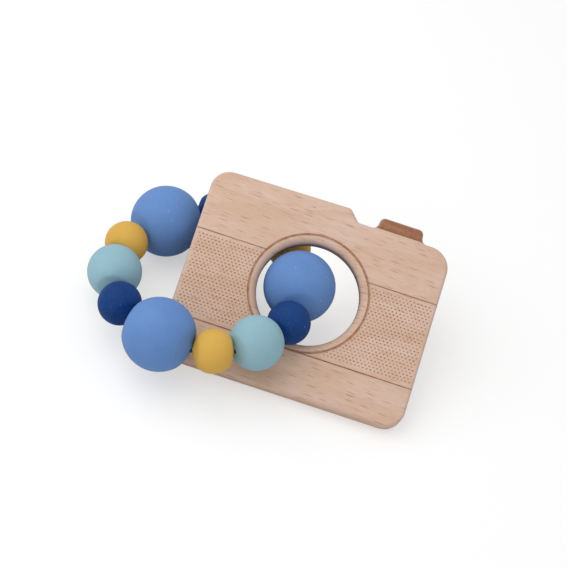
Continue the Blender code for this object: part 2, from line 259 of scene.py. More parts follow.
def rounded_corner(before, corner, after, radius):
    """Points round one corner of the plate, with their outward normals."""
    arriving = (corner - before).normalized()
    leaving = (after - corner).normalized()
    turn = arriving.x * leaving.y - arriving.y * leaving.x
    bend = math.atan2(turn, arriving.dot(leaving))
    side = math.copysign(1.0, bend)
    inward = Vector((-arriving.y, arriving.x)) * side
    start = corner - arriving * radius * math.tan(abs(bend) / 2)
    centre = start + inward * radius
    steps = max(2, math.ceil(math.degrees(abs(bend)) / ARC_STEP))
    points = []
    for step in range(steps + 1):
        spoke = -inward
        spoke.rotate(Matrix.Rotation(bend * step / steps, 2))
        points.append((centre + spoke * radius, spoke * side))
    return points


def plate_outline():
    """Points round the plate with their outward normals, corners rounded, and cut where lines cross."""
    corners = [(Vector((x, y)), radius) for x, y, radius in outline_corners()]
    points = []
    for index, (corner, radius) in enumerate(corners):
        before = corners[index - 1][0]
        after = corners[(index + 1) % len(corners)][0]
        points += rounded_corner(before, corner, after, radius)
        if index == 1:
            points += [(Vector((corner.x, y)), Vector((1.0, 0.0))) for y in line_heights()]
        if index == len(corners) - 1:
            points += [(Vector((corner.x, y)), Vector((-1.0, 0.0))) for y in reversed(line_heights())]
    return points


def rounded_profile(radius, steps):
    """Insets, heights and outward slopes from the plate's face round its edge to its back."""
    half = PLATE_THICKNESS / 2
    upper = []
    for step in range(steps + 1):
        angle = math.radians(90 * step / steps)
        upper.append((radius * (1 - math.sin(angle)), half - radius * (1 - math.cos(angle)), angle))
    lower = [(inset, -height, math.pi - angle) for inset, height, angle in reversed(upper)]
    return upper + lower


def dot_centres():
    """Centres of the engraved dots: staggered rows between the lines, outside the circle."""
    centres = []
    reach = PLATE_WIDTH / 2 - EDGE_ROUND - DOT_CLEAR_OF_EDGE
    for row in range(DOT_ROWS):
        y = DOT_LOWEST_Y + row * DOT_ROW_PITCH
        shift = DOT_FIRST_X + DOT_PITCH / 2 * (row % 2)
        count = math.ceil(2 * reach / DOT_PITCH)
        for column in range(-count, count + 1):
            x = shift + column * DOT_PITCH
            if abs(x) < reach and math.hypot(x, y) > CIRCLE_RADIUS + DOT_CLEAR_OF_CIRCLE:
                centres.append((x, y))
    return centres


class Sheet:
    """A flat drawing of the engraved face: points with depths, and the edges that join them."""

    def __init__(self):
        """Start empty."""
        self.points = []
        self.depths = []
        self.edges = []

    def loop(self, points, depths):
        """Add a closed loop of points, and give their indices."""
        first = len(self.points)
        self.points += [Vector(point) for point in points]
        self.depths += depths
        count = len(points)
        self.edges += [(first + index, first + (index + 1) % count) for index in range(count)]
        return range(first, first + count)


def draw_lines(sheet, border):
    """Add the straight grooves, from the border's own points to the circle or right across."""
    meeting = CIRCLE_RADIUS + CIRCLE_WIDTH / 2
    for middle in (UPPER_LINE_Y, LOWER_LINE_Y):
        for offset, share in groove_section(LINE_WIDTH):
            y = middle + offset
            ends = [index for index in border if abs(sheet.points[index].y - y) < SAME_HEIGHT]
            ends.sort(key=lambda index: sheet.points[index].x)
            if abs(y) >= meeting:
                sheet.edges.append((ends[0], ends[-1]))
                continue
            stop = math.sqrt(meeting**2 - y**2) + LINE_PAST_CIRCLE
            for end, side in ((ends[0], -1.0), (ends[-1], 1.0)):
                sheet.points.append(Vector((side * stop, y)))
                sheet.depths.append(share * LINE_DEPTH)
                sheet.edges.append((end, len(sheet.points) - 1))


def draw_circle(sheet):
    """Add the engraved circle's lips and feet."""
    for offset, share in groove_section(CIRCLE_WIDTH):
        points = circle_points(CIRCLE_RADIUS + offset, HOLE_SEGMENTS, turn=0.5)
        sheet.loop(points, [share * CIRCLE_DEPTH] * HOLE_SEGMENTS)


def draw_dots(sheet):
    """Add each dot's rim and floor."""
    for centre in dot_centres():
        for radius, share in ((DOT_RADIUS, 0.0), (DOT_RADIUS * DOT_FLOOR_SHARE, 1.0)):
            sheet.loop(circle_points(radius, DOT_SIDES, centre), [share * DOT_DEPTH] * DOT_SIDES)


def sheet_vertices(work, sheet, places, sources, known):
    """Each drawn point's mesh vertex: one that exists already, or a new one at its depth."""
    vertices = []
    for place, source in zip(places, sources):
        held = next((known[index] for index in source if index in known), None)
        depth = max((sheet.depths[index] for index in source), default=0.0)
        vertices.append(held or work.verts.new((place.x, place.y, PLATE_THICKNESS / 2 - depth)))
    return vertices


def engraved_face(work, border_loop, hole_loop):
    """Fill the plate's front face between its border and the hole, with the engraving cut in."""
    sheet = Sheet()
    border = sheet.loop([vertex.co.xy for vertex in border_loop], [0.0] * len(border_loop))
    hole = sheet.loop([vertex.co.xy for vertex in hole_loop], [0.0] * len(hole_loop))
    draw_circle(sheet)
    draw_lines(sheet, border)
    draw_dots(sheet)
    known = dict(zip(border, border_loop))
    known.update(zip(hole, hole_loop))
    result = delaunay_2d_cdt(sheet.points, sheet.edges, [], 0, MERGE_DISTANCE, True)
    places, triangles, sources = result[0], result[2], result[3]
    vertices = sheet_vertices(work, sheet, places, sources, known)
    inner = HOLE_RADIUS + HOLE_ROUND - HOLE_MARGIN
    on_border = set(border_loop)
    for triangle in triangles:
        corners = [vertices[index] for index in triangle]
        middle = sum((corner.co.xy for corner in corners), Vector((0.0, 0.0))) / 3
        if middle.length < inner:
            continue
        if all(corner in on_border for corner in corners) and not inside_outline(middle):
            continue
        work.faces.new(corners)


def inside_outline(place):
    """Whether a point lies inside the plate's face."""
    inside = False
    points = [point - normal * EDGE_ROUND for point, normal in plate_outline()]
    for index, corner in enumerate(points):
        before = points[index - 1]
        if (corner.y > place.y) != (before.y > place.y):
            crossing = before.x + (place.y - before.y) * (corner.x - before.x) / (corner.y - before.y)
            inside ^= place.x < crossing
    return inside


def edge_loops(work):
    """Loops of vertices round the plate's outer edge, from its face to its back, in millimetres."""
    loops = []
    outline = plate_outline()
    for inset, height, angle in rounded_profile(EDGE_ROUND, ROUND_STEPS):
        loop = []
        fade = max(0.0, math.cos(angle))
        for place, normal in outline:
            depth = line_depth(place.y) if abs(normal.x) > SIDE_NORMAL else 0.0
            flat = place - normal * (inset + depth * math.sin(angle) * fade)
            loop.append(work.verts.new((flat.x, flat.y, height - depth * math.cos(angle) * fade)))
        loops.append(loop)
    return loops


def rim_loops(work):
    """Loops of vertices round the lens hole's wall, from the face to the back, in millimetres."""
    loops = []
    for inset, height, _ in rounded_profile(HOLE_ROUND, HOLE_ROUND_STEPS):
        points = circle_points(HOLE_RADIUS + inset, HOLE_SEGMENTS)
        loops.append([work.verts.new((x, y, height)) for x, y in points])
    return loops


def plate_mesh():
    """The whole plate in metres: rounded edge, rounded lens hole, engraved front and plain back."""
    work = bmesh.new()
    edge = edge_loops(work)
    rim = rim_loops(work)
    for loops in (edge, rim):
        for first, second in zip(loops, loops[1:]):
            bridge(work, first, second)
    engraved_face(work, edge[0], rim[0])
    borders = []
    for loop in (edge[-1], rim[-1]):
        for index, vertex in enumerate(loop):
            borders.append(work.edges.get((vertex, loop[(index + 1) % len(loop)])))
    bmesh.ops.triangle_fill(work, edges=borders, use_beauty=True)
    bmesh.ops.scale(work, vec=(MM, MM, MM), verts=work.verts)
    return work


def add_plate():
    """The engraved beech plate."""
    place = plate @ Matrix.Translation(Vector(LENS_SHIFT) * MM)
    piece = new_piece("beech_plate", plate_mesh(), place, "plate", beech_material(place))
    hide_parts("camera_body")


# Beads

def bead_lines():
    """Each bead's frame in order round the string."""
    return [bead_matrix(name) for name in BEAD_NAMES]


def string_corners():
    """Places where the lines through neighbouring beads meet, in metres."""
    lines = bead_lines()
    corners = []
    for index, line in enumerate(lines):
        before = lines[index - 1]
        ends = (before.translation, before.translation + before.col[2].to_3d(),
                line.translation, line.translation + line.col[2].to_3d())
        first, second = intersect_line_line(*ends)
        corners.append((first + second) / 2)
    return corners


def bead_seats(index):
    """Seat distance in millimetres and slope of a bead's upper and lower end."""
    corners = string_corners()
    line = bead_lines()[index]
    seats = {}
    for place in (index, (index + 1) % len(corners)):
        arriving = corners[place] - corners[place - 1]
        leaving = corners[(place + 1) % len(corners)] - corners[place]
        slope = arriving.angle(leaving) / 2
        offset = corners[place] - line.translation
        is_upper = offset.dot(line.col[2].to_3d()) > 0
        seats[is_upper] = (offset.length / MM * math.cos(slope) - SEAT_GAP, slope)
    return seats[True], seats[False]


def bead_end(kind, seat, slope, knotted):
    """Radii and heights in millimetres from a bead's bore over its end to its equator."""
    half = BEAD_DIAMETERS[kind] / 2
    high = half * BEAD_HEIGHT_RATIOS[kind]
    outer = []
    for step in range(BEAD_PROFILE_STEPS + 1):
        angle = math.radians(90 * step / BEAD_PROFILE_STEPS)
        oval = 1 / math.hypot(math.cos(angle) / half, math.sin(angle) / high)
        cone = seat / math.sin(angle + slope)
        share = min(1.0, max(0.0, 0.5 + (cone - oval) / (2 * SEAT_BLEND)))
        reach = cone + (oval - cone) * share - SEAT_BLEND * share * (1 - share)
        radius = reach * math.cos(angle)
        if radius > BORE_RADIUS + MOUTH_RADIUS:
            outer.append((radius, reach * math.sin(angle)))
    top = outer[-1][1] + (outer[-1][0] - BORE_RADIUS) * math.tan(slope)
    profile = []
    if knotted:
        chamber = KNOT_RADIUS + KNOT_CLEARANCE
        profile += [(chamber, KNOT_LENGTH / 2), (BORE_RADIUS, KNOT_LENGTH / 2 + chamber)]
    for step in range(MOUTH_STEPS):
        angle = math.radians(90 * step / MOUTH_STEPS)
        radius = BORE_RADIUS + MOUTH_RADIUS * (1 - math.cos(angle))
        profile.append((radius, top - MOUTH_RADIUS * (1 - math.sin(angle))))
    return profile + outer[::-1]


def bead_mesh(name, index):
    """One bead turned about +Z, in metres."""
    work = bmesh.new()
    kind = name.split("_")[0]
    upper, lower = (bead_end(kind, *seat, name == KNOTTED_BEAD) for seat in bead_seats(index))
    profile = upper + [(radius, -height) for radius, height in lower[-2::-1]]
    loops = []
    for radius, height in profile:
        points = circle_points(radius, BEAD_SEGMENTS)
        loops.append([work.verts.new((x * MM, y * MM, height * MM)) for x, y in points])
    for place, loop in enumerate(loops):
        bridge(work, loops[place - 1], loop)
    return work


def add_beads():
    """All twelve beads, each riding on its own body."""
    materials = {kind: silicone_material(kind) for kind in BEAD_DIAMETERS}
    for index, name in enumerate(BEAD_NAMES):
        kind = name.split("_")[0]
        work = bead_mesh(name, index)
        piece = new_piece("silicone_" + name, work, bead_matrix(name), name, materials[kind])
        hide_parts(name)


# String

def string_path():
    """Closely spaced points along the string's middle line, in metres."""
    corners = string_corners()
    coarse = []
    for index, corner in enumerate(corners):
        arriving = (corner - corners[index - 1]).normalized()
        leaving = (corners[(index + 1) % len(corners)] - corner).normalized()
        bend = arriving.angle(leaving)
        tangent = STRING_BEND_RADIUS * MM * math.tan(bend / 2)
        inward = (leaving - arriving).normalized()
        centre = corner + inward * STRING_BEND_RADIUS * MM / math.cos(bend / 2)
        start = corner - arriving * tangent
        turning = arriving.cross(leaving).normalized()
        for step in range(STRING_BEND_STEPS + 1):
            turned = Matrix.Rotation(bend * step / STRING_BEND_STEPS, 3, turning)
            coarse.append(centre + turned @ (start - centre))
    path = []
    for index, place in enumerate(coarse):
        following = coarse[(index + 1) % len(coarse)]
        steps = max(1, round((following - place).length / (STRING_STEP * MM)))
        path += [place.lerp(following, step / steps) for step in range(steps)]
    return path


def knot_swelling(place):
    """How far the string swells at a place because of the knot inside its bead, in millimetres."""
    away = (place - bead_matrix(KNOTTED_BEAD).translation).length / (KNOT_LENGTH / 2 * MM)
    if away >= 1:
        return 0.0
    return (KNOT_RADIUS - STRING_RADIUS) * math.sqrt(1 - away**4)


def string_mesh():
    """A closed loop of plaited string whose strands cross both ways round it."""
    work = bmesh.new()
    path = string_path()
    lengths = [0.0]
    for index, place in enumerate(path):
        lengths.append(lengths[-1] + (path[(index + 1) % len(path)] - place).length)
    plaits = round(lengths[-1] / (STRAND_LENGTH * MM))
    upright = (path[0] - path[len(path) // 3]).cross(path[0] - path[2 * len(path) // 3]).normalized()
    loops = []
    for index, place in enumerate(path):
        along = (path[(index + 1) % len(path)] - path[index - 1]).normalized()
        side = upright.cross(along).normalized()
        over = along.cross(side)
        travel = math.pi * plaits * lengths[index] / lengths[-1]
        thickness = STRING_RADIUS + knot_swelling(place)
        loop = []
        for corner in range(STRING_SIDES):
            angle = 2 * math.pi * corner / STRING_SIDES
            strand = max(abs(math.sin(2 * angle + travel)), abs(math.sin(2 * angle - travel)))
            reach = thickness * (1 - STRAND_RELIEF * (1 - strand)) * MM
            loop.append(work.verts.new(place + (side * math.cos(angle) + over * math.sin(angle)) * reach))
        loops.append(loop)
    for index, loop in enumerate(loops):
        bridge(work, loops[index - 1], loop)
    return work


def add_string():
    """The string that carries the beads."""
    work = string_mesh()
    piece = new_piece("plaited_string", work, Matrix.Identity(4), "ring", string_material())
    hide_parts("bead_string")


# Materials

WHITE = (1.0, 1.0, 1.0, 1.0)

# Screen colours of the wood, from 0 to 255
WOOD_COLOURS = {
    "pale": (223, 194, 177),
    "warm": (217, 185, 163),
    "tan": (214, 180, 153),
    "growth": (204, 160, 130),
    "streak": (201, 164, 140),
    "fibre": (190, 152, 130),
    "fleck": (160, 115, 89),
    "stain": (173, 120, 92),
    "dark_stain": (156, 103, 76),
    "stain_speckle": (134, 86, 62),
    "stain_foot": (120, 74, 52),
    # painted sheen: a greyish reflection of the white surroundings on the rounded outer edge
    "painted_edge_sheen": (188, 184, 190),
    # painted shade deep in the lens hole's wall
    "painted_hole_shade": (92, 80, 86),
    "dot": (138, 88, 64),
    "line": (148, 98, 72),
    "circle": (160, 108, 80),
}


class Noise(NamedTuple):
    """A noise: its repeats per millimetre along and across, its turn in degrees, its shift and its kind."""

    along: float
    across: float
    turn: float = 0.0
    shift: tuple = (0.0, 0.0, 0.0)
    detail: float = 2.0
    roughness: float = 0.5
    distortion: float = 0.0


# Bare wood: each layer's noise, the span of values over which it comes in, and how far it shows
BROAD_NOISE = Noise(0.03, 0.085, turn=2.0, shift=(3.1, 0.0, 0.0), distortion=0.8)
BROAD_SPAN = (0.32, 0.68)
PATCH_NOISE = Noise(0.075, 0.16, turn=24.0, shift=(0.0, 5.3, 0.0), distortion=0.4)
PATCH_SPAN = (0.48, 0.62)
PATCH_SHARE = 0.50
STREAK_NOISE = Noise(0.05, 0.9, turn=2.0, shift=(0.0, 7.0, 0.0), detail=3.0, roughness=0.55)
STREAK_SPAN = (0.35, 0.75)
STREAK_SHARE = 0.36
FIBRE_NOISE = Noise(0.55, 7.0, turn=2.0, roughness=0.6)
FIBRE_SPAN = (0.3, 0.8)
FIBRE_SHARE = 0.30

# Growth lines, in millimetres and degrees: they rise over a span of each spacing and fall over another
GROWTH_TURN = -15.0
GROWTH_NOISE = Noise(0.022, 0.06, turn=GROWTH_TURN, shift=(0.4, 1.9, 0.0), roughness=0.45)
GROWTH_SWAY = 18.0
GROWTH_SPACING = 11.0
GROWTH_RISE = (0.60, 0.90)
GROWTH_FALL = (0.995, 0.90)
GROWTH_SHARE = 0.26


class Flecks(NamedTuple):
    """Ray flecks of one kind, in millimetres, and the share of places that may hold one."""

    pitch_along: float
    pitch_across: float
    half_length: float
    half_width: float
    share: float


LONG_FLECKS = Flecks(5.4, 1.25, 1.7, 0.125, 0.75)
SHORT_FLECKS = Flecks(3.4, 1.1, 0.8, 0.09, 0.35)

# Turn of the flecks in degrees, their spacing into the wood in millimetres, and their strengths
SHORT_FLECK_STRENGTH = 0.6
FLECK_TURN = 3.0
FLECK_PITCH_INWARD = 9.0
FLECK_STRETCH_INWARD = 0.9
FLECK_EDGE = (1.2, 0.4)
FLECK_FULL_SHARE = 0.3
FLECK_FAINTEST = 0.45
FLECK_SHARE = 0.78

# Burnt engraving: soft edges as shares of the mark's size, fades in millimetres, and how far each shows.
# The smear shortens distances along the grain, so that the dots' burns are longer that way.
DOT_SMEAR = 0.72
DOT_BURN_EDGE = (1.40, 0.45)
DOT_LIMIT_FADE = (0.30, 0.45)
DOT_BURN_SHARE = 0.80
CIRCLE_BURN_EDGE = (0.85, 0.20)
CIRCLE_BURN_SHARE = 0.92
LINE_BURN_EDGE = (0.70, 0.25)
LINE_BURN_SHARE = 0.75
MARK_END_FADE = 0.1
FRONT_DEPTHS = (0.75, 0.45)
SCORCH_NOISE = Noise(0.5, 1.0)
SCORCH_SPAN = (0.35, 0.65)
SCORCH_LEAST = 0.62
BURN_NOISE = Noise(0.15, 1.05, turn=3.0, shift=(0.0, 2.2, 0.0), roughness=0.55)
BURN_SPAN = (0.36, 0.66)
BURN_LEAST = 0.50

# Stain on the shutter button: heights above the shoulder and distances right of the ramp, in millimetres
STAIN_HEIGHTS = (0.02, 0.16)
STAIN_DISTANCES = (2.0, 2.5)
STAIN_SPAN = (0.3, 0.7)
STAIN_FOOT_HEIGHTS = (0.9, 0.1)
STAIN_FOOT_SHARE = 0.5
SPECKLE_NOISE = Noise(1.6, 2.4, detail=3.0, roughness=0.7)
SPECKLE_SPAN = (0.4, 0.62)
SPECKLE_SHARE = 0.55

# Painted sheen on the outer edge and painted shade on the hole wall, in millimetres below the face and from
# the lens
EDGE_SHEEN_UPPER_DEPTHS = (0.03, 0.45)
EDGE_SHEEN_LOWER_DEPTHS = (1.3, 0.9)
EDGE_SHEEN_REACHES = (19.0, 20.0)
EDGE_SHEEN_HEIGHTS = (-27.5, -25.0)
EDGE_SHEEN_LOWEST_SHARE = 0.25
EDGE_SHEEN_SHARE = 0.42
HOLE_SHADE_REACHES = (16.0, 15.0)
HOLE_SHADE_DEPTHS = (0.8, 2.2)
HOLE_SHADE_SHARE = 0.75

# Sheen and relief of bare wood
WOOD_ROUGHNESS = (0.58, 0.72)
WOOD_ROUGH_SPAN = (0.2, 0.8)
WOOD_GLOSS = 0.30
FLECK_DIP = 0.8
GRAIN_HEIGHT = 0.03
GRAIN_STRENGTH = 0.6

# Silicone: its lightest and darkest screen colours, sheen, clouds, scuffs and specks of dust
SILICONE_COLOURS = {
    "large": ((101, 140, 199), (97, 136, 194)),
    "yellow": ((218, 173, 82), (213, 168, 77)),
    "teal": ((147, 186, 198), (143, 181, 194)),
    "navy": ((22, 64, 126), (17, 57, 116)),
}
SILICONE_GLOSS = {"large": 0.22, "yellow": 0.20, "teal": 0.20, "navy": 0.13}
SILICONE_SCUFFS = {"large": 0.10, "yellow": 0.08, "teal": 0.08, "navy": 0.26}
SILICONE_ROUGHNESS = (0.52, 0.66)
SILICONE_HEIGHT = 0.02
SILICONE_STRENGTH = 0.5
CLOUD_NOISE = Noise(0.12, 0.12)
CLOUD_SPAN = (0.3, 0.7)
MOTTLE_NOISE = Noise(1.4, 1.4, detail=3.0, roughness=0.6)
MOTTLE_SPAN = (0.3, 0.8)
SCUFF_SPAN = (0.50, 0.75)
SCUFF_LIGHTER = 34
SPECK_CELLS_PER_MM = 0.55
SPECK_EDGE = (0.095, 0.04)
SPECK_PRESENCE = (0.72, 0.9)
SPECK_SHARE = 0.6
SPECK_COLOUR = (226, 224, 220)

# String: its lightest and darkest screen colours, a dark slate that stands as painted shade between the
# beads, its sheen and relief
STRING_SHADE_COLOURS = ((62, 68, 84), (46, 52, 68))
STRING_ROUGHNESS = 0.85
STRING_GLOSS = 0.1
STRING_HEIGHT = 0.05
STRING_STRENGTH = 0.7
THREAD_NOISE = Noise(5.0, 5.0, roughness=0.6)
THREAD_SPAN = (0.3, 0.7)

# Scatter of flecks and specks
CELL_RANDOMNESS = 0.85


def linear(channel):
    """Turn one 0 to 255 sRGB colour channel into a linear value."""
    value = channel / 255
    if value <= 0.04045:
        return value / 12.92
    return ((value + 0.055) / 1.055) ** 2.4


def colour(red, green, blue):
    """A linear colour from screen values."""
    return (linear(red), linear(green), linear(blue), 1.0)


def wood(name):
    """One of the wood's colours."""
    return colour(*WOOD_COLOURS[name])


class Shader:
    """One material's nodes, added a step at a time."""

    def __init__(self, name, pattern_frame=Matrix.Identity(4)):
        """Start a material with its Principled shader and the frame that its patterns lie in."""
        self.pattern_frame = pattern_frame
        self.material = bpy.data.materials.new(name)
        self.material.use_nodes = True
        self.nodes = self.material.node_tree.nodes
        self.links = self.material.node_tree.links
        self.principled = self.nodes["Principled BSDF"]

    def set(self, node, name, value):
        """Give a node's input a value or a link."""
        if isinstance(value, bpy.types.NodeSocket):
            self.links.new(value, node.inputs[name])
        else:
            node.inputs[name].default_value = value

    def surface(self, **values):
        """Set the Principled shader's inputs, named with underscores for spaces."""
        for name, value in values.items():
            self.set(self.principled, name.replace("_", " "), value)

    def place(self, scale=(1.0, 1.0, 1.0), turn=0.0, shift=(0.0, 0.0, 0.0)):
        """Coordinates of the material's frame in millimetres, turned about Z and then scaled."""
        source = self.nodes.new("ShaderNodeTexCoord")
        local = self.nodes.new("ShaderNodeMapping")
        local.vector_type = "TEXTURE"
        self.links.new(source.outputs["Object"], local.inputs["Vector"])
        local.inputs["Location"].default_value = self.pattern_frame.translation
        local.inputs["Rotation"].default_value = self.pattern_frame.to_euler("XYZ")
        turned = self.nodes.new("ShaderNodeVectorRotate")
        turned.rotation_type = "Z_AXIS"
        self.links.new(local.outputs[0], turned.inputs["Vector"])
        turned.inputs["Angle"].default_value = math.radians(turn)
        scaled = self.nodes.new("ShaderNodeMapping")
        self.links.new(turned.outputs[0], scaled.inputs["Vector"])
        scaled.inputs["Scale"].default_value = [value / MM for value in scale]
        scaled.inputs["Location"].default_value = shift
        return scaled.outputs[0]

    def math(self, operation, first, second=0.0):
        """One Math node."""
        node = self.nodes.new("ShaderNodeMath")
        node.operation = operation
        self.set(node, 0, first)
        self.set(node, 1, second)
        return node.outputs[0]

    def vector(self, operation, first, second=(0.0, 0.0, 0.0)):
        """One Vector Math node; its value or its vector comes out."""
        node = self.nodes.new("ShaderNodeVectorMath")
        node.operation = operation
        self.set(node, 0, first)
        self.set(node, 1, second)
        return node.outputs["Value" if operation in ("LENGTH", "DISTANCE") else "Vector"]

    def split(self, vector):
        """The three parts of a vector."""
        node = self.nodes.new("ShaderNodeSeparateXYZ")
        self.links.new(vector, node.inputs[0])
        return node.outputs

    def noise(self, kind):
        """A noise value from 0 to 1."""
        place = self.place((kind.along, kind.across, kind.across), kind.turn, kind.shift)
        node = self.nodes.new("ShaderNodeTexNoise")
        self.links.new(place, node.inputs["Vector"])
        node.inputs["Scale"].default_value = 1.0
        node.inputs["Detail"].default_value = kind.detail
        node.inputs["Roughness"].default_value = kind.roughness
        node.inputs["Distortion"].default_value = kind.distortion
        return node.outputs[0]

    def cells(self, vector):
        """The nearest cell's centre and its random colour."""
        node = self.nodes.new("ShaderNodeTexVoronoi")
        self.links.new(vector, node.inputs["Vector"])
        node.inputs["Scale"].default_value = 1.0
        node.inputs["Randomness"].default_value = CELL_RANDOMNESS
        return node.outputs["Position"], node.outputs["Color"]

    def fade(self, value, low, high, start=0.0, end=1.0):
        """A smooth step from start to end as the value goes from low to high."""
        node = self.nodes.new("ShaderNodeMapRange")
        node.interpolation_type = "SMOOTHSTEP"
        self.set(node, "Value", value)
        for name, number in (("From Min", low), ("From Max", high), ("To Min", start), ("To Max", end)):
            node.inputs[name].default_value = number
        return node.outputs[0]

    def mix(self, share, first, second):
        """Mix two colours."""
        node = self.nodes.new("ShaderNodeMix")
        node.data_type = "RGBA"
        self.set(node, 0, share)
        self.set(node, 6, first)
        self.set(node, 7, second)
        return node.outputs[2]

    def layer(self, base, value, span, share, tone):
        """Mix a colour in, up to a share, as a value goes through a span."""
        return self.mix(self.fade(value, *span, 0.0, share), base, tone)

    def tint(self, base, mask, share, tone):
        """Mix a colour in, up to a share, where a mask shows."""
        return self.mix(self.math("MULTIPLY", mask, share), base, tone)

    def bump(self, height, distance, strength):
        """Use a height as bump, with its full rise in millimetres."""
        node = self.nodes.new("ShaderNodeBump")
        node.inputs["Strength"].default_value = strength
        node.inputs["Distance"].default_value = distance * MM
        self.links.new(height, node.inputs["Height"])
        self.links.new(node.outputs[0], self.principled.inputs["Normal"])


def lens_reach(shader, place):
    """Distance of each place from the lens hole's axis, in millimetres."""
    return shader.vector("LENGTH", shader.vector("MULTIPLY", place, (1.0, 1.0, 0.0)))


def below_face(shader, place, depths):
    """A smooth step from one depth below the engraved face to another, in millimetres."""
    first, second = (PLATE_THICKNESS / 2 - depth for depth in depths)
    return shader.fade(shader.split(place)[2], first, second)


def front_mask(shader, place):
    """One on the plate's engraved face and zero on its sides and back."""
    return below_face(shader, place, FRONT_DEPTHS)


def dot_distance(shader, place):
    """Millimetres from the nearest dot of an endless pattern, shortened along the grain."""
    parts = shader.split(place)
    row = shader.math("DIVIDE", shader.math("SUBTRACT", parts[1], DOT_LOWEST_Y), DOT_ROW_PITCH)
    nearest = shader.math("ROUND", row)
    shift = shader.math("MULTIPLY", shader.math("PINGPONG", nearest, 1.0), 0.5)
    column = shader.math("DIVIDE", shader.math("SUBTRACT", parts[0], DOT_FIRST_X), DOT_PITCH)
    column = shader.math("SUBTRACT", column, shift)
    aside = shader.math("SUBTRACT", column, shader.math("ROUND", column))
    above = shader.math("SUBTRACT", row, nearest)
    aside = shader.math("MULTIPLY", aside, DOT_PITCH * DOT_SMEAR)
    above = shader.math("MULTIPLY", above, DOT_ROW_PITCH)
    squares = (shader.math("MULTIPLY", aside, aside), shader.math("MULTIPLY", above, above))
    return shader.math("SQRT", shader.math("ADD", *squares))


def dot_mask(shader, place):
    """How strongly each place lies in an engraved dot, from 0 to 1."""
    parts = shader.split(place)
    highest = DOT_LOWEST_Y + (DOT_ROWS - 1) * DOT_ROW_PITCH
    edge = PLATE_WIDTH / 2 - EDGE_ROUND
    near, far = DOT_LIMIT_FADE
    limits = (
        shader.fade(lens_reach(shader, place), CIRCLE_RADIUS + near, CIRCLE_RADIUS + far),
        shader.fade(parts[1], DOT_LOWEST_Y - far, DOT_LOWEST_Y - near),
        shader.fade(parts[1], highest + far, highest + near),
        shader.fade(shader.math("ABSOLUTE", parts[0]), edge, edge - MARK_END_FADE),
        front_mask(shader, place),
    )
    outer, inner = DOT_BURN_EDGE
    total = shader.fade(dot_distance(shader, place), DOT_RADIUS * outer, DOT_RADIUS * inner)
    for limit in limits:
        total = shader.math("MULTIPLY", total, limit)
    return total


def circle_mask(shader, place):
    """How strongly each place lies in the engraved circle, from 0 to 1, with a soft scorched edge."""
    from_circle = shader.math("ABSOLUTE", shader.math("SUBTRACT", lens_reach(shader, place), CIRCLE_RADIUS))
    outer, inner = CIRCLE_BURN_EDGE
    circle = shader.fade(from_circle, CIRCLE_WIDTH * outer, CIRCLE_WIDTH * inner)
    return shader.math("MULTIPLY", circle, front_mask(shader, place))


def line_mask(shader, place):
    """How strongly each place lies in an engraved straight line, from 0 to 1."""
    height = shader.split(place)[1]
    outside = shader.fade(lens_reach(shader, place), CIRCLE_RADIUS, CIRCLE_RADIUS + MARK_END_FADE)
    outer, inner = LINE_BURN_EDGE
    lines = []
    for middle in (UPPER_LINE_Y, LOWER_LINE_Y):
        from_line = shader.math("ABSOLUTE", shader.math("SUBTRACT", height, middle))
        line = shader.fade(from_line, LINE_WIDTH * outer, LINE_WIDTH * inner)
        lines.append(shader.math("MULTIPLY", line, outside))
    return shader.math("MULTIPLY", shader.math("MAXIMUM", *lines), front_mask(shader, place))


def engraved_colour(shader, place, base):
    """The wood's colour with its burnt dots, lines and circle."""
    scorch = shader.fade(shader.noise(SCORCH_NOISE), *SCORCH_SPAN, SCORCH_LEAST, 1.0)
    burn = shader.fade(shader.noise(BURN_NOISE), *BURN_SPAN, BURN_LEAST, 1.0)
    marks = (
        (dot_mask(shader, place), burn, DOT_BURN_SHARE, "dot"),
        (line_mask(shader, place), scorch, LINE_BURN_SHARE, "line"),
        (circle_mask(shader, place), scorch, CIRCLE_BURN_SHARE, "circle"),
    )
    for mask, strength, share, name in marks:
        base = shader.tint(base, shader.math("MULTIPLY", mask, strength), share, wood(name))
    return base


def growth_lines(shader):
    """Wavy growth lines that rise to the right: each darkens slowly and ends sharply."""
    height = shader.split(shader.place(turn=GROWTH_TURN))[1]
    sway = shader.math("MULTIPLY", shader.noise(GROWTH_NOISE), GROWTH_SWAY)
    share = shader.math("FRACT", shader.math("DIVIDE", shader.math("ADD", height, sway), GROWTH_SPACING))
    return shader.math("MULTIPLY", shader.fade(share, *GROWTH_RISE), shader.fade(share, *GROWTH_FALL))


def ray_flecks(shader, kind):
    """Short dark dashes along the grain: how strongly each place lies in a dash, from 0 to 1."""
    scale = (1 / kind.pitch_along, 1 / kind.pitch_across, 1 / FLECK_PITCH_INWARD)
    place = shader.place(scale, FLECK_TURN)
    centre, random = shader.cells(place)
    away = shader.vector("SUBTRACT", place, centre)
    stretch = (
        kind.pitch_along / kind.half_length,
        kind.pitch_across / kind.half_width,
        FLECK_STRETCH_INWARD,
    )
    inside = shader.fade(shader.vector("LENGTH", shader.vector("MULTIPLY", away, stretch)), *FLECK_EDGE)
    parts = shader.split(random)
    present = shader.fade(parts[0], 1 - kind.share, 1 - kind.share * FLECK_FULL_SHARE)
    depth = shader.fade(parts[1], 0.0, 1.0, FLECK_FAINTEST, 1.0)
    return shader.math("MULTIPLY", shader.math("MULTIPLY", inside, present), depth)


def all_flecks(shader):
    """Long flecks and fainter short ones together."""
    short = shader.math("MULTIPLY", ray_flecks(shader, SHORT_FLECKS), SHORT_FLECK_STRENGTH)
    return shader.math("MAXIMUM", ray_flecks(shader, LONG_FLECKS), short)


